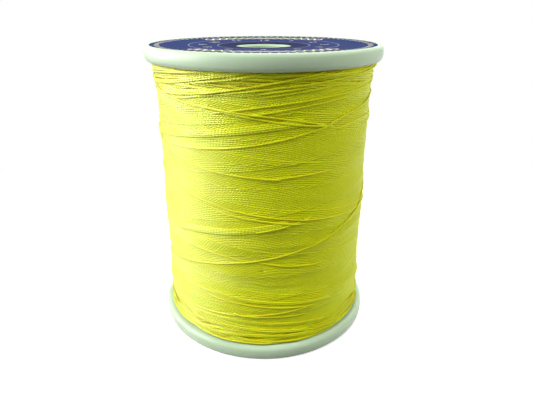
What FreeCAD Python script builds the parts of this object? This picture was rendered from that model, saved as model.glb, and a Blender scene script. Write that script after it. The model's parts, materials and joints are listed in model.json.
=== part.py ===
import FreeCAD
import Part
import math
import os

# Reel of fine twisted string: two moulded end flanges pressed into a core tube,
# a full winding between them and a printed disc on each end. The reel stands on its
# lower flange: the origin is the middle of that face and +Z runs up the axis.

V = FreeCAD.Vector
UP = V(0, 0, 1)

# Overall sizes
flange_diameter = 60.0
overall_height = 76.2

# Flanges
flange_thickness = 3.8          # rim height, outer face to winding face
outer_face_round = 1.0          # rim corner at the outer face
winding_face_round = 1.3        # rim corner at the winding
bore_diameter = 13.0            # spindle hole right through the reel
bore_mouth_chamfer = 0.4
spigot_length = 14.0            # tubular hub that enters the core tube
spigot_lead_chamfer = 0.8
label_recess_depth = 0.3        # at the recess's edge
face_dish = 0.6                 # how much deeper the recess is at the bore's mouth

# Core tube
core_diameter = 22.0
core_wall = 1.6
spigot_clearance = 0.05         # radial play of the spigot in the core tube

# End labels
rim_land = 1.4                  # bare rim outside the label's recess
label_hole_land = 0.6           # bare ring between the bore and the label
label_thickness = 0.15
label_edge_clearance = 0.1      # radial play of the label in its recess

# String
string_diameter = 0.4           # across the corners of its section
string_sides = 8                # flats round the string's section
winding_below_rim = 2.2         # from the rim down to the outermost turns
bedding_depth = 0.05            # how far a turn sinks between the turns below it
outer_turns = 23
wander = 1.6                    # how far a turn leans up on one side of the reel
lean_waves = 3.0                # how often that lean swings over, bottom to top
end_bend_radius = 1.2           # bend from along the axis to round the reel
end_straight = 0.4              # straight run where an end meets a flange

# Worked out from the sizes above
flange_radius = flange_diameter / 2
bore_radius = bore_diameter / 2
bore_mouth_radius = bore_radius + bore_mouth_chamfer
core_radius = core_diameter / 2
core_bore_radius = core_radius - core_wall
spigot_radius = core_bore_radius - spigot_clearance
winding_radius = flange_radius - winding_below_rim
winding_low = flange_thickness
winding_high = overall_height - flange_thickness
turn_radius = winding_radius - string_diameter / 2
inner_layers_radius = winding_radius - string_diameter + bedding_depth
recess_radius = flange_radius - rim_land
label_radius = recess_radius - label_edge_clearance
label_hole_radius = bore_radius + label_hole_land
first_turn_z = winding_low + end_straight + end_bend_radius
last_turn_z = winding_high - end_straight - end_bend_radius
layer_angle = 2 * math.pi * outer_turns


def corner(centre_r, centre_z, radius, start_deg, end_deg):
    """Round corner in the X-Z half plane, between two angles about its centre."""
    def at(deg):
        a = math.radians(deg)
        return V(centre_r + radius * math.cos(a), 0, centre_z + radius * math.sin(a))
    return Part.Arc(at(start_deg), at((start_deg + end_deg) / 2), at(end_deg)).toShape()


def turned(edges):
    """Solid of revolution about the reel's axis from a closed outline."""
    face = Part.Face(Part.Wire(edges))
    return face.revolve(V(0, 0, 0), UP, 360)


def line(r0, z0, r1, z1):
    return Part.LineSegment(V(r0, 0, z0), V(r1, 0, z1)).toShape()


def outline(points):
    """Closed outline of straight runs through (radius, height) points."""
    closed = points + points[:1]
    return [line(*a, *b) for a, b in zip(closed, closed[1:])]


def recess_depth(radius):
    """Depth of the dished recess below the rim's land, an even slope from its edge to the bore."""
    share = (recess_radius - radius) / (recess_radius - bore_mouth_radius)
    return label_recess_depth + face_dish * share


def lower_flange():
    """Disc with a rounded rim, a dished label recess, a spindle bore and a spigot above it."""
    r = flange_radius
    t = flange_thickness
    top = t + spigot_length
    mouth = recess_depth(bore_mouth_radius)
    edges = [
        line(bore_mouth_radius, mouth, recess_radius, label_recess_depth),
        line(recess_radius, label_recess_depth, recess_radius, 0),
        line(recess_radius, 0, r - outer_face_round, 0),
        corner(r - outer_face_round, outer_face_round, outer_face_round, -90, 0),
        line(r, outer_face_round, r, t - winding_face_round),
        corner(r - winding_face_round, t - winding_face_round, winding_face_round, 0, 90),
        line(r - winding_face_round, t, spigot_radius, t),
        line(spigot_radius, t, spigot_radius, top - spigot_lead_chamfer),
        line(spigot_radius, top - spigot_lead_chamfer, spigot_radius - spigot_lead_chamfer, top),
        line(spigot_radius - spigot_lead_chamfer, top, bore_radius, top),
        line(bore_radius, top, bore_radius, mouth + bore_mouth_chamfer),
        line(bore_radius, mouth + bore_mouth_chamfer, bore_mouth_radius, mouth),
    ]
    return turned(edges)


def turned_over(shape):
    """The same piece at the other end of the reel."""
    shape.rotate(V(0, 0, overall_height / 2), V(1, 0, 0), 180)
    return shape


def upper_flange():
    return turned_over(lower_flange())


def core_tube():
    """Plain tube that seats on the winding faces of both flanges."""
    return turned(outline([
        (core_bore_radius, winding_low),
        (core_radius, winding_low),
        (core_radius, winding_high),
        (core_bore_radius, winding_high),
    ]))


def bottom_label():
    """Thin disc with a hole round the bore, on the dished floor of the recess."""
    inner = recess_depth(label_hole_radius)
    outer = recess_depth(label_radius)
    return turned(outline([
        (label_hole_radius, inner - label_thickness),
        (label_radius, outer - label_thickness),
        (label_radius, outer),
        (label_hole_radius, inner),
    ]))


def top_label():
    return turned_over(bottom_label())


def inner_string_layers():
    """All the layers under the outermost one, as one plain ring on the core tube."""
    return turned(outline([
        (core_radius, winding_low),
        (inner_layers_radius, winding_low),
        (inner_layers_radius, winding_high),
        (core_radius, winding_high),
    ]))


def turn_height(angle):
    """Height of the outer layer's centre line after so many radians of winding.

    A steady climb, plus a lean that swings from one side of the reel to the other
    and fades out towards both flanges."""
    share = angle / layer_angle
    lean = wander * math.sin(math.pi * share) * math.sin(2 * math.pi * lean_waves * share)
    return first_turn_z + (last_turn_z - first_turn_z) * share + lean * math.sin(angle)


def turn_point(angle):
    return V(turn_radius * math.cos(angle), turn_radius * math.sin(angle), turn_height(angle))


def turn_direction(angle):
    """Unit tangent by a small central difference, level at both ends of the layer."""
    if angle in (0, layer_angle):
        return V(-math.sin(angle), math.cos(angle), 0)
    step = 1e-4
    return (turn_point(angle + step) - turn_point(angle - step)).normalize()


def arc_from_triangle(start, apex, end):
    """Arc that leaves start towards apex and reaches end coming from apex."""
    chord_middle = (start + end) * 0.5
    half_chord = (end - start).Length / 2
    rise = apex - chord_middle
    half_turn = math.atan2(rise.Length, half_chord)
    sagitta = half_chord * math.tan(half_turn / 2)
    return Part.Arc(start, chord_middle + rise.normalize() * sagitta, end).toShape()


def biarc(p0, t0, p1, t1):
    """Two tangent arcs from p0 along t0 to p1 along t1."""
    span = p1 - p0
    along = span.dot(t0 + t1)
    spread = 2 * (1 - t0.dot(t1))
    reach = (math.sqrt(along * along + spread * span.dot(span)) - along) / spread
    apex0 = p0 + t0 * reach
    apex1 = p1 - t1 * reach
    join = (apex0 + apex1) * 0.5
    return [arc_from_triangle(p0, apex0, join), arc_from_triangle(join, apex1, p1)]


def outer_layer_path():
    """Centre line: square out of the lower flange, round the reel, square into the upper one."""
    quarters = 4 * outer_turns
    angles = [layer_angle * k / quarters for k in range(quarters + 1)]
    points = [turn_point(a) for a in angles]
    ways = [turn_direction(a) for a in angles]
    first, first_way = points[0], ways[0]
    last, last_way = points[-1], ways[-1]
    foot = first - first_way * end_bend_radius - UP * end_bend_radius
    head = last + last_way * end_bend_radius + UP * end_bend_radius
    edges = [
        Part.LineSegment(foot - UP * end_straight, foot).toShape(),
        arc_from_triangle(foot, foot + UP * end_bend_radius, first),
    ]
    for k in range(quarters):
        edges += biarc(points[k], ways[k], points[k + 1], ways[k + 1])
    edges.append(arc_from_triangle(last, last + last_way * end_bend_radius, head))
    edges.append(Part.LineSegment(head, head + UP * end_straight).toShape())
    return Part.Wire(edges)


def least_gap(path, diameter):
    """Least clear space between turns, measured on points about 1 mm apart.

    Each point is held against the points from half a turn to one and a half turns on."""
    points = path.discretize(Number=int(path.Length))
    turn = int(len(points) / outer_turns)
    least = path.Length
    for i, p in enumerate(points):
        for q in points[i + turn // 2:i + 3 * turn // 2]:
            least = min(least, (q - p).Length)
    return least - diameter


def string_section(centre):
    """Level polygon round the start of the path."""
    corners = []
    for k in range(string_sides):
        a = 2 * math.pi * k / string_sides
        corners.append(centre + V(math.cos(a), math.sin(a), 0) * (string_diameter / 2))
    return Part.Wire(Part.makePolygon(corners + corners[:1]))


def outer_string_layer():
    """The outermost turns as one unbroken tube over the inner layers."""
    path = outer_layer_path()
    section = string_section(path.Edges[0].Vertexes[0].Point)
    tube = path.makePipeShell([section], True, False)
    area = Part.Face(section).Area
    print("outer layer: length %.0f mm, volume / (section x length) %.4f"
          % (path.Length, tube.Volume / (area * path.Length)))
    print("outer layer: least gap between turns %.2f mm" % least_gap(path, string_diameter))
    return tube


nodes = {
    "lower_flange": lower_flange,
    "upper_flange": upper_flange,
    "core_tube": core_tube,
    "bottom_label": bottom_label,
    "top_label": top_label,
    "inner_string_layers": inner_string_layers,
    "outer_string_layer": outer_string_layer,
}

os.makedirs("parts", exist_ok=True)
for name, make in nodes.items():
    shape = make()
    shape.exportStep("parts/%s.step" % name)
    print("%-20s solids %d valid %s volume %.1f mm3"
          % (name, len(shape.Solids), shape.isValid(), shape.Volume))
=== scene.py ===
import json
import math

import bmesh
import bpy
import numpy as np
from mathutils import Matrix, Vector


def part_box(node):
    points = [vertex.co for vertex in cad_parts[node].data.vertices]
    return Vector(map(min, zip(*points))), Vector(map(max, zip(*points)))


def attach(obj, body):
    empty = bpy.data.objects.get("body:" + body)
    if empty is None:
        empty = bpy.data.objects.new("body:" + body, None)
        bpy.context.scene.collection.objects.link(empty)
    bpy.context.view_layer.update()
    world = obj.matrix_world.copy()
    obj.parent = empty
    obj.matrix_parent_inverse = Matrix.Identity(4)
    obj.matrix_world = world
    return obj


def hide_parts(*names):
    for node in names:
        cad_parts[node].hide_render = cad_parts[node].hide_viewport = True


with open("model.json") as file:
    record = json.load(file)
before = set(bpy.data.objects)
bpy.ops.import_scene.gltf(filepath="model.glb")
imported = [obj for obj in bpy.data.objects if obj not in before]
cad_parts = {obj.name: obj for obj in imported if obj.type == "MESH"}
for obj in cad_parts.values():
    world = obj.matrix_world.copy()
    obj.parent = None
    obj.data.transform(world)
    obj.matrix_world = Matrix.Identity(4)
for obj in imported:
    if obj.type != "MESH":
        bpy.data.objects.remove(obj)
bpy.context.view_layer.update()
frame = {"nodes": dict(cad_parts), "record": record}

# A reel of fluorescent yellow string, stood on its lower flange. Meshes are in metres, every
# dictionary of values is in millimetres and degrees, and azimuths count from the front (-Y) to
# the right.

mm = 0.001
scene = bpy.context.scene
print("frame loaded:", sorted(frame["nodes"]))


# Sizes that the frame gives

reel = {
    "rimRadius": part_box("upper_flange")[1].x / mm,
    "height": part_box("upper_flange")[1].z / mm,
    "windLow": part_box("inner_string_layers")[0].z / mm,    # winding face of the lower flange
    "windHigh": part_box("inner_string_layers")[1].z / mm,   # and of the upper flange
    "coreRadius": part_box("core_tube")[1].x / mm,
    "spigotTop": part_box("lower_flange")[1].z / mm,
    "labelRadius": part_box("top_label")[1].x / mm,
    "boreRadius": frame["record"]["mounts"][0]["dims"]["r_mm"],   # of the spindle's bore
}


# Small helpers

def srgb(text):  # "#rrggbb" as the linear colour that a shader socket takes
    parts = [int(text[k:k + 2], 16) / 255 for k in (1, 3, 5)]
    return [p / 12.92 if p <= 0.04045 else ((p + 0.055) / 1.055) ** 2.4 for p in parts] + [1.0]


def addNode(tree, kind, values=None, links=None, **settings):
    # one node with its settings, the values of its sockets and what they are linked to
    node = tree.nodes.new(kind)
    for name, value in settings.items():
        setattr(node, name, value)
    for socket, value in (values or {}).items():
        node.inputs[socket].default_value = value
    for socket, source in (links or {}).items():
        tree.links.new(source, node.inputs[socket])
    return node


def newMaterial(name, **shaderValues):
    # a material, its tree and its shader, with constants on the shader's own sockets
    material = bpy.data.materials.new(name)
    material.use_nodes = True
    tree = material.node_tree
    shader = tree.nodes["Principled BSDF"]
    for socket, value in shaderValues.items():
        shader.inputs[socket.replace("_", " ")].default_value = value
    return material, tree, shader


def addMesh(name, points, faces, material, slot=None, uv=None, sharp=None):
    # points: n by 3 in millimetres; faces: rows of equal length, wound outwards;
    # uv: one pair for each corner of each face; sharp: degrees past which an edge isn't smoothed
    mesh = bpy.data.meshes.new(name)
    points = np.asarray(points, np.float32) * mm
    faces = np.asarray(faces, np.int32)
    mesh.vertices.add(len(points))
    mesh.vertices.foreach_set("co", points.ravel())
    mesh.loops.add(faces.size)
    mesh.loops.foreach_set("vertex_index", faces.ravel())
    mesh.polygons.add(len(faces))
    mesh.polygons.foreach_set("loop_start", np.arange(len(faces), dtype=np.int32) * faces.shape[1])
    mesh.update(calc_edges=True)
    mesh.shade_smooth()
    if sharp:
        mesh.set_sharp_from_angle(angle=math.radians(sharp))
    if uv is not None:
        layer = mesh.uv_layers.new(name="path")
        layer.uv.foreach_set("vector", np.asarray(uv, np.float32).ravel())
    mesh.materials.append(material)
    piece = bpy.data.objects.new(name, mesh)
    scene.collection.objects.link(piece)
    if slot:
        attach(piece, "root")
    return piece


def gridFaces(rows, columns, closeRows=False):
    # quads (r, c), (r, c + 1), (r + 1, c + 1), (r + 1, c) of a grid whose columns run round and
    # close; they face along column direction x row direction
    r = np.arange(rows if closeRows else rows - 1)[:, None]
    c = np.arange(columns)[None, :]
    rNext = (r + 1) % rows
    cNext = (c + 1) % columns
    quads = np.stack([r * columns + c, r * columns + cNext,
                      rNext * columns + cNext, rNext * columns + c], -1)
    return quads.reshape(-1, 4)


def turned(profile, around):
    # solid of revolution: point (j, k) = (r_j cos a_k, r_j sin a_k, z_j), a_k = 2 pi k / around,
    # from a closed profile that runs against the clock in the r-z plane
    profile = np.asarray(profile, float)
    a = 2 * np.pi * np.arange(around) / around
    r = profile[:, :1]
    z = np.broadcast_to(profile[:, 1:], (len(profile), around))
    points = np.stack([r * np.cos(a), r * np.sin(a), z], -1).reshape(-1, 3)
    return points, gridFaces(len(profile), around, closeRows=True)


def joined(parts):  # several (points, faces) as those of one mesh
    first = np.cumsum([0] + [len(points) for points, faces in parts])
    return (np.concatenate([points for points, faces in parts]),
            np.concatenate([faces + start for (points, faces), start in zip(parts, first)]))


def turnedOver(points):
    # the same piece at the other end of the reel, half a turn about X: (x, -y, height - z)
    return points * (1, -1, -1) + (0, 0, reel["height"])


def smoothStep(x):  # 0 below 0, 1 above 1, and 3x^2 - 2x^3 between
    x = np.clip(x, 0, 1)
    return x * x * (3 - 2 * x)


# Camera, fitted to the photograph's edge curves

camera = {
    "focalPixels": 460.4,     # for an image 533 pixels wide
    "imageWidth": 533,
    "sensorWidth": 36.0,
    "pitch": 22.86,           # down
    "back": 123.85,           # from the reel's axis
    "height": 84.8,           # above the floor
    "sideways": 0.72,         # the reel stands a little left of the middle
    "nearClip": 5.0,
}


def makeCamera():
    data = bpy.data.cameras.new("camera")
    data.sensor_width = camera["sensorWidth"]
    data.lens = camera["sensorWidth"] * camera["focalPixels"] / camera["imageWidth"]
    data.clip_start = camera["nearClip"] * mm
    eye = bpy.data.objects.new("camera", data)
    eye.location = Vector((camera["sideways"], -camera["back"], camera["height"])) * mm
    eye.rotation_euler = (math.radians(90 - camera["pitch"]), 0, 0)
    scene.collection.objects.link(eye)
    scene.camera = eye


makeCamera()
print("camera placed")


# Light, floor and background

studio = {
    "floorSize": 3000.0,
    "floorSeen": "#e8e8e6",        # the floor as the camera sees it
    "floorBounce": "#767674",      # and as it lights the reel from below
    "floorLift": 0.42,             # so that the floor reads as white round its shadow
    "floorRoughness": 0.9,
    "floorGloss": 0.2,
    "shadowReach": (70.0, 190.0),  # distances between which the floor fades to pure white
    "worldColour": "#ffffff",
    "worldStrength": 0.06,
    # name: azimuth, elevation, distance from the reel, width, height, watts,
    # whether it lights surfaces, and whether it glints in them
    "lamps": {
        "window_left": (-70, 24, 420, 260, 260, 1.69, True, True),
        "window_high": (-50, 58, 430, 360, 360, 1.83, True, False),
        "card_left": (-84, 18, 420, 480, 300, 17.0, False, True),
        "fill_right": (85, 20, 480, 220, 200, 1.95, True, False),
        "window_behind": (165, 36, 450, 300, 260, 2.2, True, False),
    },
}


def makeLamps():  # each on a sphere about the reel's middle, which it faces
    target = Vector((0, 0, reel["height"] / 2)) * mm
    for name, values in studio["lamps"].items():
        azimuth, elevation, distance, width, height, watts, lights, glints = values
        a = math.radians(azimuth - 90)
        e = math.radians(elevation)
        way = Vector((math.cos(a) * math.cos(e), math.sin(a) * math.cos(e), math.sin(e)))
        offset = way * distance * mm
        data = bpy.data.lights.new(name, "AREA")
        data.shape = "RECTANGLE"
        data.size = width * mm
        data.size_y = height * mm
        data.energy = watts
        lamp = bpy.data.objects.new(name, data)
        lamp.location = target + offset
        lamp.rotation_euler = (-offset).to_track_quat("-Z", "Y").to_euler()
        lamp.visible_diffuse = lights
        lamp.visible_glossy = glints
        scene.collection.objects.link(lamp)


def seenDirectly(tree):
    # 1 for rays from the camera, off a mirror or through glass, 0 for all others
    path = addNode(tree, "ShaderNodeLightPath")
    rays = path.outputs
    bounce = addNode(tree, "ShaderNodeMath", operation="MAXIMUM",
                     links={0: rays["Is Glossy Ray"], 1: rays["Is Transmission Ray"]})
    seen = addNode(tree, "ShaderNodeMath", operation="MAXIMUM",
                   links={0: rays["Is Camera Ray"], 1: bounce.outputs[0]})
    return seen.outputs[0]


def makeWorld():  # white to the camera, a plain grey dome to the light
    world = bpy.data.worlds.new("studio")
    world.use_nodes = True
    tree = world.node_tree
    background = tree.nodes["Background"]
    background.inputs["Color"].default_value = srgb(studio["worldColour"])
    strength = addNode(tree, "ShaderNodeMapRange", links={"Value": seenDirectly(tree)},
                       values={"To Min": studio["worldStrength"], "To Max": 1.0})
    tree.links.new(strength.outputs[0], background.inputs["Strength"])
    scene.world = world


def makeFloor():
    # matt painted board: pale round the reel's shadow, plain white further out
    material, tree, shader = newMaterial("matt_white_board", Roughness=studio["floorRoughness"],
                                         Specular_IOR_Level=studio["floorGloss"])
    seen = seenDirectly(tree)
    colour = addNode(tree, "ShaderNodeMix", data_type="RGBA", links={"Factor": seen},
                     values={"A": srgb(studio["floorBounce"]), "B": srgb(studio["floorSeen"])})
    tree.links.new(colour.outputs["Result"], shader.inputs["Base Color"])
    shader.inputs["Emission Color"].default_value = (1, 1, 1, 1)
    lift = addNode(tree, "ShaderNodeMath", operation="MULTIPLY", links={0: seen},
                   values={1: studio["floorLift"]})
    tree.links.new(lift.outputs[0], shader.inputs["Emission Strength"])
    place = addNode(tree, "ShaderNodeTexCoord").outputs["Object"]
    distance = addNode(tree, "ShaderNodeVectorMath", operation="LENGTH", links={0: place})
    near, far = studio["shadowReach"]
    faded = addNode(tree, "ShaderNodeMapRange", interpolation_type="SMOOTHSTEP",
                    links={"Value": distance.outputs["Value"]},
                    values={"From Min": near * mm, "From Max": far * mm})
    share = addNode(tree, "ShaderNodeMath", operation="MULTIPLY",
                    links={0: faded.outputs[0], 1: seen})
    plain = addNode(tree, "ShaderNodeEmission", values={"Color": (1, 1, 1, 1), "Strength": 1.0})
    mixed = addNode(tree, "ShaderNodeMixShader",
                    links={0: share.outputs[0], 1: shader.outputs[0], 2: plain.outputs[0]})
    tree.links.new(mixed.outputs[0], tree.nodes["Material Output"].inputs["Surface"])
    half = studio["floorSize"] / 2
    corners = [(-half, -half, 0), (half, -half, 0), (half, half, 0), (-half, half, 0)]
    addMesh("floor", corners, [(0, 1, 2, 3)], material)


makeLamps()
makeWorld()
makeFloor()
scene.view_settings.view_transform = "Standard"
print("studio ready")


# Flanges

flange = {
    "around": 256,              # facets round the reel
    "rimThickness": reel["windLow"],
    "outerRound": 1.0,
    "windingRound": 1.3,
    "crown": 12,                # degrees by which the rim's side leans where it meets its rounds
    "edgeSoftness": 0.12,       # moulded edges are never dead sharp
    "recessRadius": reel["labelRadius"] + 0.1,    # the label has a little play in it
    "recessDepth": 0.3,
    "dish": 0.6,                # how much deeper the recess is at the bore
    "boreChamfer": 0.4,
    "spigotRadius": 9.35,
    "spigotChamfer": 0.8,
    "seatPoints": 8,            # of the profile, along the dished recess
    "cornerSteps": 3,           # facets of each softened edge
    "outerSteps": 7,            # of the round at the outer face
    "sideSteps": 8,             # of the crowned side
    "windingSteps": 8,          # of the round at the winding
    "sharpAngle": 40,           # edges past this stay sharp
    "milky": ("#a8bca1", "#b5c8ad"),
    "cloudSize": 14.0,          # of faint clouds left by moulding
    "cloudDetail": 3.0,
    "roughness": 0.38,
    "tubeRoughness": 0.45,
    "ior": 1.49,
    "gloss": 0.07,
    "glow": 0.7,                # share of the light that enters the plastic
    "glowDepth": (1.0, 1.1, 0.8),  # how far red, green and blue light travels in it
}


def seat(radius):
    # depth of the dished label recess: an even slope from its edge down to the bore's mouth
    mouth = reel["boreRadius"] + flange["boreChamfer"]
    share = (flange["recessRadius"] - radius) / (flange["recessRadius"] - mouth)
    return flange["recessDepth"] + flange["dish"] * share


def arc(centreR, centreZ, radius, startDeg, endDeg, steps):
    # points (centre r + radius cos a, centre z + radius sin a) at evenly spaced angles a
    a = np.radians(np.linspace(startDeg, endDeg, steps + 1))
    return list(zip(centreR + radius * np.cos(a), centreZ + radius * np.sin(a)))


def flangeProfile():
    # (radius, height) points of the lower flange, against the clock in the r-z plane: recess, soft
    # edge, outer round, crowned side, winding round and spigot, each arc tangent to the next
    f = flange
    rim = reel["rimRadius"]
    t = f["rimThickness"]
    bore = reel["boreRadius"]
    mouth = bore + f["boreChamfer"]
    top = reel["spigotTop"]
    soft = f["edgeSoftness"]
    edge = f["recessRadius"]
    points = [(bore, seat(mouth) + f["boreChamfer"]), (mouth, seat(mouth))]
    points += [(r, seat(r)) for r in np.linspace(mouth, edge - soft, f["seatPoints"])[1:]]
    points += [(edge, f["recessDepth"] - soft)]
    points += arc(edge + soft, soft, soft, 180, 270, f["cornerSteps"])
    outer = f["outerRound"]
    inner = f["windingRound"]
    crown = f["crown"]
    lean = math.sin(math.radians(crown))
    drawnIn = math.cos(math.radians(crown))
    sideLow = outer * (1 - lean)
    sideHigh = t - inner * (1 - lean)
    sideRadius = (sideHigh - sideLow) / (2 * lean)
    sideEdge = rim - sideRadius * (1 - drawnIn)
    points += arc(sideEdge - outer * drawnIn, outer, outer, -90, -crown, f["outerSteps"])
    points += arc(rim - sideRadius, (sideLow + sideHigh) / 2, sideRadius, -crown, crown,
                  f["sideSteps"])[1:]
    points += arc(sideEdge - inner * drawnIn, t - inner, inner, crown, 90, f["windingSteps"])[1:]
    spigot = f["spigotRadius"]
    points += arc(spigot + soft, t + soft, soft, 270, 180, f["cornerSteps"])
    points += [(spigot, top - f["spigotChamfer"]), (spigot - f["spigotChamfer"], top)]
    points += [(bore + soft, top), (bore, top - soft)]
    return points


def mouldedPlastic(name, roughness):
    # natural polypropylene: milky, lets light through its edges, faintly clouded, satin gloss
    material, tree, shader = newMaterial(name, Roughness=roughness, IOR=flange["ior"],
                                         Subsurface_Weight=flange["glow"], Subsurface_Scale=mm,
                                         Specular_IOR_Level=flange["gloss"])
    shader.inputs["Subsurface Radius"].default_value = flange["glowDepth"]
    place = addNode(tree, "ShaderNodeTexCoord").outputs["Object"]
    cloud = addNode(tree, "ShaderNodeTexNoise", links={"Vector": place},
                    values={"Scale": 1 / (flange["cloudSize"] * mm),
                            "Detail": flange["cloudDetail"]})
    tone = addNode(tree, "ShaderNodeMix", data_type="RGBA", links={"Factor": cloud.outputs["Fac"]},
                   values={"A": srgb(flange["milky"][0]), "B": srgb(flange["milky"][1])})
    tree.links.new(tone.outputs["Result"], shader.inputs["Base Color"])
    return material


def makeFlanges():
    material = mouldedPlastic("natural_polypropylene", flange["roughness"])
    points, faces = turned(flangeProfile(), flange["around"])
    lower = addMesh("lower_end", points, faces, material, "flange_plastic",
                    sharp=flange["sharpAngle"])
    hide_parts("lower_flange")
    upper = addMesh("upper_end", turnedOver(points), faces, material, "flange_plastic",
                    sharp=flange["sharpAngle"])
    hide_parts("upper_flange")


def finishCore():  # the extruded tube between the flanges, seen only down the bore
    tube = frame["nodes"]["core_tube"].data
    tube.materials.clear()
    tube.materials.append(mouldedPlastic("extruded_polypropylene", flange["tubeRoughness"]))


makeFlanges()
finishCore()
print("flanges made")


# Winding: one string laid to and fro between the flanges, then the boldest strands over it

winding = {
    "samples": 96,             # path points in each turn
    "sides": 6,                # flats round the string
    "halfWide": 0.215,
    "contactHalf": 0.16,       # half the width it rests on: its edges sink between its neighbours
    "halfHigh": 0.09,          # bedded between its neighbours, the soft string is flat
    "boldHalfWide": 0.24,      # where it lies over the others it stays rounder
    "boldHalfHigh": 0.15,
    "boldBedding": 0.03,       # how far it presses into them
    "boldLap": 0.24,           # side by side, each lies a share of this deeper than the one below
    "boldLift": 0.2,           # how far, at most, a bold strand under it raises it
    "drift": 0.04,             # slow wandering, so that neighbouring passes stay side by side
    "driftTurns": 40,
    "relief": 0.6,             # crossed strings press into each other, so less of them stands proud
    "turnsPerCycle": 6.5,      # up the reel and down again
    "pitch": 0.4,              # between neighbouring passes
    "corner": 0.985,           # 1 would turn back sharply at each flange
    "turnBack": 18,            # azimuth at which the string last turned back under the upper flange
    "spareKnots": 4,           # of the wandering, past the last turn
    "laidTurns": 620,
    "shownTurns": 480,
    "turnsPerPiece": 160,
    "overrun": 12,             # points of the next turn that each turn is pulled tight with
    "startRadius": 26.4,
    "flangeClearance": 0.03,
    "endSpread": 0.9,          # how much sooner it turns back on some passes than on others
    "endZone": 5.0,            # and how near the flange that shows
    "rowStep": 0.05,           # of the map of heights on which each strand is laid
    "mapMargin": 8,            # rows of the map beyond the string's side
    "relaxSteps": 16,
    # outline of the winding as (height, radius): a slight waist, fuller at both flanges
    "outline": [(3.8, 28.2), (6, 28.1), (9, 28.05), (13, 27.95), (18, 27.75), (22, 27.55),
                (27, 27.7), (32, 27.85), (38, 27.75), (45, 27.5), (64, 27.5), (68, 27.8),
                (72.4, 28.1)],
    "outlineInset": 0.05,      # how far inside it the string's middle lies
    # and how far the front stands out in low ridges, as (height, rise)
    "ridges": [(3.8, 0.1), (5, 0.2), (9.5, -0.3), (11.5, -0.3), (14, 0.1), (18.5, -0.3),
               (20, -0.3), (24.5, 0.1), (28.2, -0.3), (32, 0.1), (33.8, -0.1), (37.5, 0.3),
               (41.5, -0.1), (44, 0), (49, -0.2), (54, 0), (60, 0), (65, -0.1), (68, 0)],
    "evenedRows": (20, 16),    # of the map, over which heights are evened before they are settled
    "evenedColumns": 5,
    "coverDepth": 0.3,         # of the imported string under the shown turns
    "coverGap": 0.01,          # between it and the core and flanges
    "coverPoints": 48,
    "coverAround": 192,
    "diveDepth": 0.9,          # how far a bold strand's ends go under the surface
    "diveLength": 10.0,        # degrees
    "viewEdge": 50,            # azimuth past which a bold strand runs on out of view
    "runOn": 3,                # and for how many dive lengths
    "curveDegree": 3,
    "fine": 3,                 # points of a bold strand for each column of the map
    "seed": 11,
    "deepYellow": "#c3d00a",
    "paleYellow": "#d5e214",
    "patchSize": 9.0,          # of areas where the dye took a little more or less
    "patchDetail": 2.0,
    "nookYellow": "#e2c804",   # painted bounce light: a warmer yellow painted where other string is near
    "nookReach": 0.8,          # how near other string has to be for it
    "nookRange": (0.2, 0.78),  # open shares at which the colour is all nook yellow, and all dye
    "nookSamples": 6,
    "roughness": 0.37,
    "ior": 1.53,
    "gloss": 0.16,
    "plies": 3,
    "plyDepth": 0.05,
    "plyShade": 0.78,          # painted shade between the plies: the darkest share of the dye
    "layLength": 2.4,          # of a ply's twist, drawn a third coarser than real so that it shows
}
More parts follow.
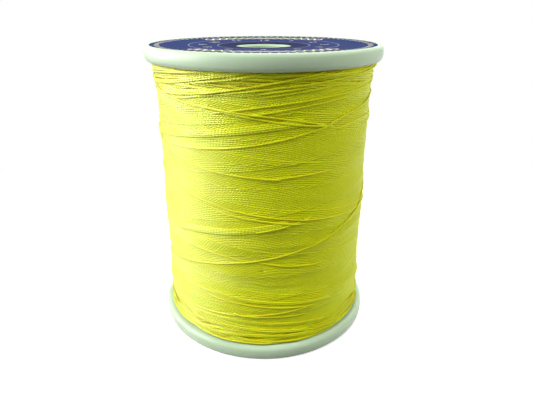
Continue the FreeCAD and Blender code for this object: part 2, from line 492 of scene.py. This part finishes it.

# Bold strands of the front: how many lie side by side, and listed (azimuth, height) points
boldStrands = {
    "nearFlange1": (1, [(-64, 70.6), (-45, 71.4), (-32, 71.9)]),
    "nearFlange2": (2, [(-66, 68.4), (-40, 69.6), (-20, 71.2), (-13, 71.7)]),
    "nearFlange3": (1, [(-24, 70.2), (-11, 71.1), (-3, 71.8)]),
    "nearFlange4": (1, [(5, 70.2), (30, 71.4)]),
    "topRiseOne": (1, [(-58, 66.4), (-40, 66.8), (-20, 68.3), (0, 69.7), (20, 71.5)]),
    "topRiseTwo": (1, [(-42, 66.0), (-20, 67.6), (0, 68.7), (20, 69.8), (50, 70.7), (57, 71.1)]),
    "topRiseThree": (1, [(-18, 64.0), (-10, 64.4), (0, 65.2), (12, 66.0), (24, 66.5), (38, 66.9),
                         (58, 67.6)]),
    "topRiseFour": (1, [(-8, 63.3), (6, 64.2), (18, 65.0), (30, 65.7), (42, 66.1)]),
    "upperStep": (4, [(-62, 56.0), (-40, 57.3), (-20, 58.9), (0, 60.0), (16, 61.0)]),
    "topFallOne": (1, [(-60, 66.4), (-40, 65.2), (-22, 64.3), (-4, 63.5), (7, 62.8), (18, 61.8),
                       (31, 60.4)]),
    "topFallTwo": (1, [(-14, 63.6), (0, 62.4), (7, 61.9), (15, 61.2), (24, 60.7)]),
    "upperRise": (1, [(-60, 54.3), (-40, 54.8), (-20, 55.8), (0, 57.2), (18, 59.0), (29, 60.1)]),
    "upperTurn": (1, [(31, 60.4), (38, 61.6), (50, 62.7), (58, 63.3)]),
    "upperLevel": (1, [(41, 59.6), (51, 60.1), (64, 60.1)]),
    "middleRise": (1, [(4, 49.0), (14, 49.3), (28, 49.6)]),
    "middleFall": (1, [(-60, 53.4), (-46, 51.7), (-35, 50.7), (-23, 50.0), (-12, 49.6), (4, 49.0)]),
    "lowerStep": (4, [(-47, 33.0), (-20, 35.0), (0, 36.4), (8, 37.2)]),
    "lowerStepTip": (1, [(0, 36.4), (10, 37.4), (20, 38.5)]),
    "centreFall": (1, [(-60, 44.8), (-47, 43.6), (-32, 42.4), (-20, 41.5), (0, 40.3), (22, 38.5),
                       (36, 37.6), (48, 37.0), (62, 36.9)]),
    "centreFallTwo": (1, [(-20, 40.2), (0, 38.9), (15, 37.9)]),
    "lowFallTwo": (1, [(-37, 29.4), (-21, 28.7), (-12, 28.1)]),
    "lowFallThree": (1, [(0, 27.6), (8, 26.8), (24, 25.9)]),
    "lowRise": (1, [(-57, 22.8), (-40, 24.5), (-19, 27.0), (0, 28.6), (20, 30.3), (34, 32.4),
                    (46, 34.6), (62, 37.0)]),
    "baseFallOne": (2, [(-42, 17.6), (-30, 17.2), (-15, 17.0), (-2, 16.4), (11, 15.7), (22, 15.0),
                        (34, 14.5)]),
    "baseFallTwo": (1, [(-25, 16.1), (-11, 15.6), (0, 15.2), (11, 14.6), (22, 14.1)]),
    "baseRidgeOne": (1, [(-36, 11.0), (-20, 11.8), (0, 12.7), (20, 13.7)]),
    "baseRidgeTwo": (1, [(-10, 12.3), (0, 12.1), (20, 11.6)]),
    "baseRidgeThree": (2, [(-38, 9.9), (-20, 10.1), (0, 9.9), (20, 8.9), (30, 8.5)]),
    "baseRidgeFour": (2, [(-36, 8.0), (-20, 8.1), (0, 7.9), (18, 7.0)]),
    "baseRidgeFive": (2, [(-34, 5.8), (-20, 6.1), (0, 6.3), (20, 5.9)]),
    "baseRidgeSix": (1, [(-34, 4.5), (-20, 4.5), (0, 4.5)]),
}

# Bold strands of the sides and back, which the seed places
sideStrands = {
    "count": 26,
    "start": (75, 180),        # azimuths between which one starts
    "shortest": 40,            # degrees
    "lastEnd": 240,
    "lean": (0.05, 0.08),      # millimetres up or down for each degree round
    "beside": (1, 1, 2, 4),    # how many lie side by side, one of these
    "clearance": 0.2,
}


def mapLimits():  # lowest and highest path on the map of heights, its rows, and its margin in rows
    w = winding
    low = reel["windLow"] + w["halfWide"] + w["flangeClearance"]
    high = reel["windHigh"] - w["halfWide"] - w["flangeClearance"]
    rows = int((high - low) / w["rowStep"]) + 1
    return low, high, rows, int(w["halfWide"] / w["rowStep"]) + w["mapMargin"]


def onMap(turn, z):  # column and row of the map for each point of a path
    low, high, rows, pad = mapLimits()
    column = np.rint(turn * winding["samples"]).astype(int) % winding["samples"]
    row = np.rint((z - low) / winding["rowStep"]).astype(int)
    return column, np.clip(row, 0, rows - 1)


def section(halfWide, halfHigh):
    # the string's section: rows x beside its middle, and halfHigh sqrt(1 - (x / halfWide)^2) there
    reach = int(halfWide / winding["rowStep"])
    offsets = np.arange(-reach, reach + 1)
    cap = halfHigh * np.sqrt(np.maximum(1 - (offsets * winding["rowStep"] / halfWide) ** 2, 0))
    return offsets, cap


def pullTight(support, before, radius):
    # least radius that clears the support and runs straight between its high points:
    # r = max(support, mean of neighbours - sag), where sag is that of a chord over one step
    r = support.copy()
    sag = radius * (2 * math.pi / winding["samples"]) ** 2 / 2
    for _ in range(winding["relaxSteps"]):
        r[1:-1] = np.maximum(support[1:-1], (r[:-2] + r[2:]) / 2 - sag)
        r[0] = max(support[0], (before + r[1]) / 2 - sag)
    return r


def layString():
    # height: z = middle + half the range * asin(corner sin(2 pi turns / cycle)) / asin(corner)
    # + drift, drawn back a little near the flanges, where it turns
    # radius: pulled tight over the map of all that was laid before it
    w = winding
    rng = np.random.default_rng(w["seed"])
    samples = w["samples"]
    total = w["laidTurns"]
    low, high, rows, pad = mapLimits()
    offsets, cap = section(w["contactHalf"], w["halfHigh"])
    turn = np.arange(total * samples + w["overrun"]) / samples

    def drift(size, every):  # a random value at every so many turns, and straight between them
        knots = rng.normal(0, size, int(total / every) + w["spareKnots"])
        return np.interp(turn, np.arange(len(knots)) * every, knots)

    # each cycle is longer by so much that it lies one pitch beside the last cycle but one
    slope = 2 * (high - low) / w["turnsPerCycle"]
    cycleTurns = w["turnsPerCycle"] + w["pitch"] / (2 * slope)
    topShare = 0.25  # of a cycle, where it is highest
    lastTop = (int(total / cycleTurns) - 1 + topShare) * cycleTurns
    phase = lastTop - round(lastTop) - w["turnBack"] / 360
    cycle = (turn + phase) / cycleTurns
    wave = np.arcsin(w["corner"] * np.sin(2 * np.pi * cycle)) / math.asin(w["corner"])
    spread = abs(drift(w["endSpread"], w["turnsPerCycle"] / 2))
    spare = (high - low) / 2 * (1 - abs(wave))
    spare += spread * (1 - smoothStep(spare / w["endZone"]))
    z = (low + high) / 2 + np.sign(wave) * ((high - low) / 2 - spare)
    z = np.clip(z + drift(w["drift"], w["driftTurns"]), low, high)
    surface = np.full((samples, rows + 2 * pad), w["startRadius"])
    radius = np.zeros(total * samples)
    last = w["startRadius"]
    for start in range(0, len(radius), samples):
        part = slice(start, start + samples + w["overrun"])
        column, row = onMap(turn[part], z[part])
        under = (column[:, None], pad + row[:, None] + offsets)
        r = pullTight((surface[under] + cap).max(1), last, w["startRadius"])[:samples]
        last = r[-1]
        radius[start:start + samples] = r
        at = (under[0][:samples], under[1][:samples])
        surface[at] = np.maximum(surface[at], r[:, None] + cap)
    return turn[:len(radius)], z[:len(radius)], radius, surface[:, pad:pad + rows]


def wantedRadius(z, front=0):
    # straight lines between the outline's points, plus front times those between the ridges' points
    outline = np.interp(z, *np.transpose(winding["outline"])) - winding["outlineInset"]
    return outline + front * np.interp(z, *np.transpose(winding["ridges"]))


def settle(turn, z, radius, skin):
    # lifts or lowers whole areas so that the outline follows wantedRadius and every crossing stays
    # as it lay: r = wanted + relief * (r - mean of the map near it), ridges times cos(azimuth)
    def smooth(values, width, axis, mode):  # the mean of 2 * width values about each
        pad = [(width, width) if k == axis else (0, 0) for k in range(2)]
        total = np.cumsum(np.pad(values, pad, mode=mode), axis)
        at = np.arange(values.shape[axis])
        return (np.take(total, at + 2 * width, axis) - np.take(total, at, axis)) / (2 * width)

    mean = skin
    for width in winding["evenedRows"]:
        mean = smooth(mean, width, 1, "edge")
    mean = smooth(mean, winding["evenedColumns"], 0, "wrap")
    front = np.maximum(np.cos(2 * np.pi * turn), 0)
    return wantedRadius(z, front) + (radius - mean[onMap(turn, z)]) * winding["relief"]


def mapOf(turn, z, radius):
    # the settled turns as a map of heights, the highest string over each cell, for the bold strands
    low, high, rows, pad = mapLimits()
    offsets, cap = section(winding["halfWide"], winding["halfHigh"])
    surface = np.zeros((winding["samples"], rows + 2 * pad))
    column, row = onMap(turn, z)
    np.maximum.at(surface, (column[:, None], pad + row[:, None] + offsets), radius[:, None] + cap)
    return surface


def boldRoute(points, shift):
    # height as a smooth curve of azimuth through the chosen points, run on straight past both ends,
    # and further where an end lies at an edge of the view
    azimuth, height = np.array(points, float).T
    step = 360 / winding["samples"]
    tail = winding["diveLength"]
    longTail = winding["runOn"] * tail
    before = tail if azimuth[0] > -winding["viewEdge"] else longTail
    after = tail if azimuth[-1] < winding["viewEdge"] else longTail
    first = math.floor((azimuth[0] - before) / step)
    last = math.ceil((azimuth[-1] + after) / step)
    a = np.arange(first, last + 1) * step
    degree = min(winding["curveDegree"], len(points) - 1)
    curve = np.polynomial.Polynomial.fit(azimuth, height, degree)
    slope = curve.deriv()
    z = curve(np.clip(a, azimuth[0], azimuth[-1])) + shift
    z += slope(azimuth[0]) * np.minimum(a - azimuth[0], 0)
    z += slope(azimuth[-1]) * np.maximum(a - azimuth[-1], 0)
    return a, z


def sideRoutes():
    # like the front's strands, where the photograph doesn't reach: straight, each at its own level
    s = sideStrands
    rng = np.random.default_rng(winding["seed"] + 1)
    low, high = mapLimits()[:2]
    for n in range(s["count"]):
        start = rng.uniform(*s["start"])
        end = rng.uniform(start + s["shortest"], s["lastEnd"])
        lean = rng.choice((-1, 1)) * rng.uniform(*s["lean"])
        middle = low + (high - low) * (n + rng.uniform()) / s["count"]
        reach = lean * (end - start) / 2
        z = np.clip((middle - reach, middle, middle + reach),
                    low + s["clearance"], high - s["clearance"])
        beside = int(rng.choice(s["beside"]))
        yield beside, [(start, z[0]), ((start + end) / 2, z[1]), (end, z[2])]


def layBoldStrands(surface):
    # each strand lies on what is under it, pressed in by its bedding; of those side by side each is
    # a share of the lap lower than the one before, and both ends dip below the surface
    w = winding
    low, high, rows, pad = mapLimits()
    offsets, cap = section(w["boldHalfWide"], w["boldHalfHigh"])
    ground = surface.copy()
    paths = []
    for beside, points in list(boldStrands.values()) + list(sideRoutes()):
        for n in range(beside):
            azimuth, z = boldRoute(points, n * w["pitch"])
            z = np.clip(z, low, high)
            column, row = onMap(azimuth / 360, z)
            under = (column[:, None], pad + row[:, None] + offsets)
            support = np.minimum((surface[under] + cap).max(1),
                                 (ground[under] + cap).max(1) + w["boldLift"])
            r = pullTight(support, support[0], w["startRadius"])
            fromEnd = np.minimum(azimuth - azimuth[0], azimuth[-1] - azimuth)
            dip = w["diveDepth"] * (1 - smoothStep(fromEnd / w["diveLength"]))
            r -= w["boldBedding"] + w["boldLap"] * n / beside + dip
            surface[under] = np.maximum(surface[under], r[:, None] + cap)
            fine = np.linspace(azimuth[0], azimuth[-1], (len(azimuth) - 1) * w["fine"] + 1)
            paths.append((fine / 360, np.interp(fine, azimuth, z), np.interp(fine, azimuth, r)))
    return paths


def stringTube(turn, z, radius, halfWide, halfHigh):
    # point (i, k) = centre_i + out_i * halfHigh cos b_k + across_i * halfWide sin b_k,
    # b_k = 2 pi k / sides; a fan of quads closes each end, and the uv is
    # (length along the string, share of the way round it)
    sides = winding["sides"]
    a = 2 * np.pi * turn - np.pi / 2
    centre = np.stack([radius * np.cos(a), radius * np.sin(a), z], -1)
    along = np.gradient(centre, axis=0)
    along /= np.linalg.norm(along, axis=1)[:, None]
    out = np.stack([np.cos(a), np.sin(a), 0 * a], -1)
    across = np.cross(along, out)
    across /= np.linalg.norm(across, axis=1)[:, None]
    out = np.cross(across, along)
    b = 2 * np.pi * np.arange(sides) / sides
    ring = (out[:, None] * (halfHigh * np.cos(b))[None, :, None]
            + across[:, None] * (halfWide * np.sin(b))[None, :, None])
    points = (centre[:, None] + ring).reshape(-1, 3)
    faces = gridFaces(len(turn), sides)
    length = np.concatenate([[0], np.cumsum(np.linalg.norm(np.diff(centre, axis=0), axis=1))])
    k = np.tile(np.arange(sides), len(turn) - 1)
    v = np.stack([k, k + 1, k + 1, k], -1) / sides
    uv = np.stack([length[faces // sides], v], -1)
    end = (len(turn) - 1) * sides
    fan = np.array([(0, j + 2, j + 1, j) for j in range(1, sides - 2, 2)])
    faces = np.concatenate([faces, fan, end + fan[:, ::-1]])
    uv = np.concatenate([uv, np.zeros((2 * len(fan), 4, 2))])
    return points, faces, uv


def twistedNylon():
    # twisted multifilament nylon, dyed fluorescent yellow: slanting plies, a silky sheen, painted
    # shade in the ply grooves and painted warm bounce light in the crevices;
    # raised = sine of 2 pi plies (length / layLength + share round)
    w = winding
    material, tree, shader = newMaterial("twisted_nylon", Roughness=w["roughness"], IOR=w["ior"],
                                         Specular_IOR_Level=w["gloss"])
    path = addNode(tree, "ShaderNodeUVMap", uv_map="path")
    parts = addNode(tree, "ShaderNodeSeparateXYZ", links={0: path.outputs[0]})
    twist = addNode(tree, "ShaderNodeMath", operation="MULTIPLY_ADD",
                    links={0: parts.outputs["X"], 2: parts.outputs["Y"]},
                    values={1: 1 / w["layLength"]})
    angle = addNode(tree, "ShaderNodeMath", operation="MULTIPLY", links={0: twist.outputs[0]},
                    values={1: 2 * math.pi * w["plies"]})
    ply = addNode(tree, "ShaderNodeMath", operation="SINE", links={0: angle.outputs[0]})
    raised = addNode(tree, "ShaderNodeMapRange", links={"Value": ply.outputs[0]},
                     values={"From Min": -1.0, "From Max": 1.0})
    place = addNode(tree, "ShaderNodeTexCoord").outputs["Object"]
    patch = addNode(tree, "ShaderNodeTexNoise", links={"Vector": place},
                    values={"Scale": 1 / (w["patchSize"] * mm), "Detail": w["patchDetail"]})
    dye = addNode(tree, "ShaderNodeMix", data_type="RGBA", links={"Factor": patch.outputs["Fac"]},
                  values={"A": srgb(w["deepYellow"]), "B": srgb(w["paleYellow"])})
    # painted shade: the dye is darkened in the grooves between the plies
    paintedPlyShade = addNode(tree, "ShaderNodeMapRange", links={"Value": raised.outputs[0]},
                    values={"To Min": w["plyShade"], "To Max": 1.0})
    plyShadedDye = addNode(tree, "ShaderNodeMix", data_type="RGBA", blend_type="MULTIPLY",
                     links={"A": dye.outputs["Result"], "B": paintedPlyShade.outputs[0]},
                     values={"Factor": 1.0})
    # painted bounce light: where other string is near, the dye turns to a warmer yellow
    nook = addNode(tree, "ShaderNodeAmbientOcclusion", samples=w["nookSamples"],
                   values={"Distance": w["nookReach"] * mm})
    nookOpenShare = addNode(tree, "ShaderNodeMapRange", links={"Value": nook.outputs["AO"]},
                     values={"From Min": w["nookRange"][0], "From Max": w["nookRange"][1]})
    paintedNookTint = addNode(tree, "ShaderNodeMix", data_type="RGBA", values={"A": srgb(w["nookYellow"])},
                     links={"Factor": nookOpenShare.outputs[0], "B": plyShadedDye.outputs["Result"]})
    tree.links.new(paintedNookTint.outputs["Result"], shader.inputs["Base Color"])
    bump = addNode(tree, "ShaderNodeBump", links={"Height": raised.outputs[0]},
                   values={"Strength": 1.0, "Distance": w["plyDepth"] * mm})
    tree.links.new(bump.outputs[0], shader.inputs["Normal"])
    return material


def coverProfile():
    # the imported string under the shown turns, as one closed ring on the core: the outline, drawn in
    w = winding
    z = np.linspace(reel["windLow"] + w["coverGap"], reel["windHigh"] - w["coverGap"],
                    w["coverPoints"])
    skin = list(zip(wantedRadius(z) - w["coverDepth"], z))
    inner = reel["coreRadius"] + w["coverGap"]
    return [(inner, z[0])] + skin + [(inner, z[-1])]


def makeWinding():
    w = winding
    material = twistedNylon()
    turn, z, radius, skin = layString()
    radius = settle(turn, z, radius, skin)
    first = (w["laidTurns"] - w["shownTurns"]) * w["samples"]
    turn, z, radius = turn[first:], z[first:], radius[first:]
    endDip = smoothStep((turn - turn[-1]) * 360 / w["diveLength"] + 1)
    radius -= w["diveDepth"] * endDip  # its end goes under the last turns
    perPiece = w["turnsPerPiece"] * w["samples"]
    for n, start in enumerate(range(0, len(turn), perPiece)):
        part = slice(start, min(start + perPiece + 1, len(turn)))
        points, faces, uv = stringTube(turn[part], z[part], radius[part],
                                       w["halfWide"], w["halfHigh"])
        piece = addMesh("string_run_%d" % (n + 1), points, faces, material, "string", uv=uv)
        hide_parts("outer_string_layer")
    tubes = [stringTube(*path, w["boldHalfWide"], w["boldHalfHigh"])
             for path in layBoldStrands(mapOf(turn, z, radius))]
    points, faces = joined([tube[:2] for tube in tubes])
    uv = np.concatenate([tube[2] for tube in tubes])
    bold = addMesh("last_strands", points, faces, material, "string", uv=uv)
    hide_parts("outer_string_layer")
    points, faces = turned(coverProfile(), w["coverAround"])
    cover = addMesh("packed_layers", points, faces, material, "string")
    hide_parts("inner_string_layers")
    print("winding: radius %.2f to %.2f, %d bold strands"
          % (radius.min(), radius.max(), len(tubes)))


makeWinding()


# Labels: printed paper discs in the recesses of both flanges

label = {
    "around": 192,
    "holeRadius": 7.1,
    "thickness": 0.15,
    "backGap": 0.02,           # between the paper and the flange
    "radialPoints": 16,
    "sharpAngle": 40,          # edges past this stay sharp
    "ripple": 0.03,            # paper never lies quite flat
    "rippleWaves": [(1.0, 3, 0.7), (0.6, 5, 2.1)],  # share of it, waves round the disc, phase
    "navy": ("#141d43", "#253563"),  # the ink lies thinner in places
    "mottle": 0.7,
    "mottleDetail": 2.0,
    "hubInk": "#14183a",
    "silver": "#6f7788",
    "cream": "#cfcba4",
    "red": "#93303a",
    "hubRadius": 11.6,
    "rings": (11.7, 19.0),
    "ringWidth": 0.3,
    "cordRadius": 21.9,        # ornament in two arcs: strands twisted about each other
    "cordSwing": 1.4,
    "cordWaves": 30,
    "cordWidth": 0.45,
    "arcHalf": 48,             # degrees each side of the front and the back
    "redRadius": 24.6,         # thin line beside the cord
    "redWidth": 0.3,
    "tickRadius": 26.8,
    "tickLength": 1.2,
    "ticks": 90,
    "tickCut": 0.6,            # level of the sine above which there is ink
    "numberRadius": 15.4,
    "numbers": 12,
    "numberHeight": 3.2,
    "inkHeight": 0.02,
    "inkRoughness": 0.45,
    "inkGloss": 0.03,
    "numberSharpAngle": 30,
    "weld": 1e-4,              # points nearer than this are one
    "roughness": 0.6,
    "gloss": 0.015,
}


def labelPrint():
    # offset print on coated paper: flat dark inks with a dull gloss, the blue a little uneven
    material, tree, shader = newMaterial("printed_coated_paper", Roughness=label["roughness"],
                                         Specular_IOR_Level=label["gloss"])
    place = addNode(tree, "ShaderNodeTexCoord").outputs["Object"]
    flat = addNode(tree, "ShaderNodeVectorMath", operation="MULTIPLY", links={0: place},
                   values={1: (1 / mm, 1 / mm, 0)})
    axes = addNode(tree, "ShaderNodeSeparateXYZ", links={0: flat.outputs[0]})
    radius = addNode(tree, "ShaderNodeVectorMath", operation="LENGTH",
                     links={0: flat.outputs[0]}).outputs["Value"]
    angle = addNode(tree, "ShaderNodeMath", operation="ARCTAN2",
                    links={0: axes.outputs["Y"], 1: axes.outputs["X"]}).outputs[0]
    hub = addNode(tree, "ShaderNodeMath", operation="LESS_THAN", links={0: radius},
                  values={1: label["hubRadius"]})
    layers = [(hub, label["hubInk"])]
    for ring in label["rings"]:
        band = addNode(tree, "ShaderNodeMath", operation="COMPARE", links={0: radius},
                       values={1: ring, 2: label["ringWidth"] / 2})
        layers.append((band, label["silver"]))

    # ticks: a fast sine of the angle, cut off above a level, within a band of radii
    tickAngle = addNode(tree, "ShaderNodeMath", operation="MULTIPLY", links={0: angle},
                        values={1: label["ticks"]})
    tickWave = addNode(tree, "ShaderNodeMath", operation="SINE", links={0: tickAngle.outputs[0]})
    tickStroke = addNode(tree, "ShaderNodeMath", operation="GREATER_THAN",
                         links={0: tickWave.outputs[0]}, values={1: label["tickCut"]})
    tickBand = addNode(tree, "ShaderNodeMath", operation="COMPARE", links={0: radius},
                       values={1: label["tickRadius"], 2: label["tickLength"] / 2})
    tick = addNode(tree, "ShaderNodeMath", operation="MULTIPLY",
                   links={0: tickStroke.outputs[0], 1: tickBand.outputs[0]})
    layers.append((tick, label["cream"]))

    # cord: its strands are where |radius - cord radius| is about |swing|, within the two arcs
    cordAngle = addNode(tree, "ShaderNodeMath", operation="MULTIPLY", links={0: angle},
                        values={1: label["cordWaves"]})
    cordWave = addNode(tree, "ShaderNodeMath", operation="SINE", links={0: cordAngle.outputs[0]})
    swing = addNode(tree, "ShaderNodeMath", operation="MULTIPLY", links={0: cordWave.outputs[0]},
                    values={1: label["cordSwing"]})
    swingSize = addNode(tree, "ShaderNodeMath", operation="ABSOLUTE", links={0: swing.outputs[0]})
    off = addNode(tree, "ShaderNodeMath", operation="SUBTRACT", links={0: radius},
                  values={1: label["cordRadius"]})
    offSize = addNode(tree, "ShaderNodeMath", operation="ABSOLUTE", links={0: off.outputs[0]})
    strand = addNode(tree, "ShaderNodeMath", operation="COMPARE",
                     links={0: offSize.outputs[0], 1: swingSize.outputs[0]},
                     values={2: label["cordWidth"]})
    bearing = addNode(tree, "ShaderNodeMath", operation="SINE", links={0: angle})
    bearingSize = addNode(tree, "ShaderNodeMath", operation="ABSOLUTE",
                          links={0: bearing.outputs[0]})
    arcs = addNode(tree, "ShaderNodeMath", operation="GREATER_THAN",
                   links={0: bearingSize.outputs[0]},
                   values={1: math.cos(math.radians(label["arcHalf"]))})
    cord = addNode(tree, "ShaderNodeMath", operation="MULTIPLY",
                   links={0: strand.outputs[0], 1: arcs.outputs[0]})
    redBand = addNode(tree, "ShaderNodeMath", operation="COMPARE", links={0: radius},
                      values={1: label["redRadius"], 2: label["redWidth"] / 2})
    red = addNode(tree, "ShaderNodeMath", operation="MULTIPLY",
                  links={0: redBand.outputs[0], 1: arcs.outputs[0]})
    layers += [(cord, label["cream"]), (red, label["red"])]

    mottle = addNode(tree, "ShaderNodeTexNoise", links={"Vector": place},
                     values={"Scale": 1 / (label["mottle"] * mm), "Detail": label["mottleDetail"]})
    colour = addNode(tree, "ShaderNodeMix", data_type="RGBA",
                     links={"Factor": mottle.outputs["Fac"]},
                     values={"A": srgb(label["navy"][0]), "B": srgb(label["navy"][1])})
    for mask, ink in layers:
        colour = addNode(tree, "ShaderNodeMix", data_type="RGBA", values={"B": srgb(ink)},
                         links={"Factor": mask.outputs[0], "A": colour.outputs["Result"]})
    tree.links.new(colour.outputs["Result"], shader.inputs["Base Color"])
    return material


def numberInk():
    # screen-printed ink: opaque, slightly raised and a little glossier than the paper
    material, tree, shader = newMaterial("screen_printed_ink", Roughness=label["inkRoughness"],
                                         Specular_IOR_Level=label["inkGloss"])
    place = addNode(tree, "ShaderNodeTexCoord").outputs["Object"]
    wear = addNode(tree, "ShaderNodeTexNoise", links={"Vector": place},
                   values={"Scale": 1 / (label["mottle"] * mm), "Detail": label["mottleDetail"]})
    tone = addNode(tree, "ShaderNodeMix", data_type="RGBA", links={"Factor": wear.outputs["Fac"]},
                   values={"A": srgb(label["silver"]), "B": srgb(label["cream"])})
    tree.links.new(tone.outputs["Result"], shader.inputs["Base Color"])
    return material


def labelSurface(radius, angle, depth):
    # z of the lower label: the seat less a depth of paper, plus ripple * (r / R)^2 * the sum of
    # share * sin(waves * angle + phase), less the ripple, which keeps it clear of the flange
    edge = (radius / reel["labelRadius"]) ** 2
    swell = sum(share * np.sin(waves * angle + phase)
                for share, waves, phase in label["rippleWaves"])
    return seat(radius) - depth + label["ripple"] * edge * swell - label["ripple"]


def numberMesh(number):
    # the outline of one number as a thin closed plate, in millimetres about its middle
    curve = bpy.data.curves.new("number", "FONT")
    curve.body = str(number)
    curve.size = label["numberHeight"]
    curve.align_x = "CENTER"
    curve.align_y = "CENTER"
    curve.extrude = label["inkHeight"] / 2
    text = bpy.data.objects.new("number", curve)
    mesh = bpy.data.meshes.new_from_object(text)
    plate = bmesh.new()
    plate.from_mesh(mesh)
    bmesh.ops.remove_doubles(plate, verts=plate.verts, dist=label["weld"])
    bmesh.ops.triangulate(plate, faces=plate.faces)
    plate.to_mesh(mesh)
    plate.free()
    bpy.data.objects.remove(text)
    points = np.empty(3 * len(mesh.vertices), np.float32)
    mesh.vertices.foreach_get("co", points)
    faces = np.empty(3 * len(mesh.polygons), np.int32)
    mesh.polygons.foreach_get("vertices", faces)
    return points.reshape(-1, 3), faces.reshape(-1, 3)


def makeNumbers(material):
    # each number stands with its foot towards the middle, on the dished paper:
    # (x, y) of the plate becomes angle + x / radius round the reel and radius + y outwards
    r = label["numberRadius"]
    plates = []
    for number in range(1, label["numbers"] + 1):
        points, faces = numberMesh(number)
        angle = math.pi / 2 - 2 * math.pi * number / label["numbers"] - points[:, 0] / r
        radius = r + points[:, 1]
        paper = -labelSurface(radius, -angle, label["thickness"])
        z = paper + points[:, 2] + label["inkHeight"] / 2
        plates.append((np.stack([radius * np.cos(angle), radius * np.sin(angle), z], -1), faces))
    points, faces = joined(plates)
    top = addMesh("top_numbers", points + (0, 0, reel["height"]), faces, material, "label_print",
                  sharp=label["numberSharpAngle"])
    bottom = addMesh("bottom_numbers", points * (1, -1, -1), faces, material, "label_print",
                     sharp=label["numberSharpAngle"])
    return top, bottom


def makeLabels():
    # points (r cos a, r sin a, labelSurface(r, a)), across the shown side from the edge to the hole
    # and back across the other side, as one closed ring
    radii = np.linspace(reel["labelRadius"], label["holeRadius"], label["radialPoints"])
    a = 2 * np.pi * np.arange(label["around"]) / label["around"]
    shown = labelSurface(radii[:, None], a, label["thickness"])
    back = labelSurface(radii[::-1, None], a, label["backGap"])
    r = np.concatenate([radii, radii[::-1]])[:, None]
    z = np.concatenate([shown, back])
    points = np.stack([r * np.cos(a), r * np.sin(a), z], -1).reshape(-1, 3)
    faces = gridFaces(2 * len(radii), label["around"], closeRows=True)[:, ::-1]
    material = labelPrint()
    low = addMesh("bottom_disc", points, faces, material, "label_print", sharp=label["sharpAngle"])
    high = addMesh("top_disc", turnedOver(points), faces, material, "label_print",
                   sharp=label["sharpAngle"])
    topNumbers, bottomNumbers = makeNumbers(numberInk())
    for piece in (low, bottomNumbers):
        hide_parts("bottom_label")
    for piece in (high, topNumbers):
        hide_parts("top_label")


makeLabels()
print("labels made")
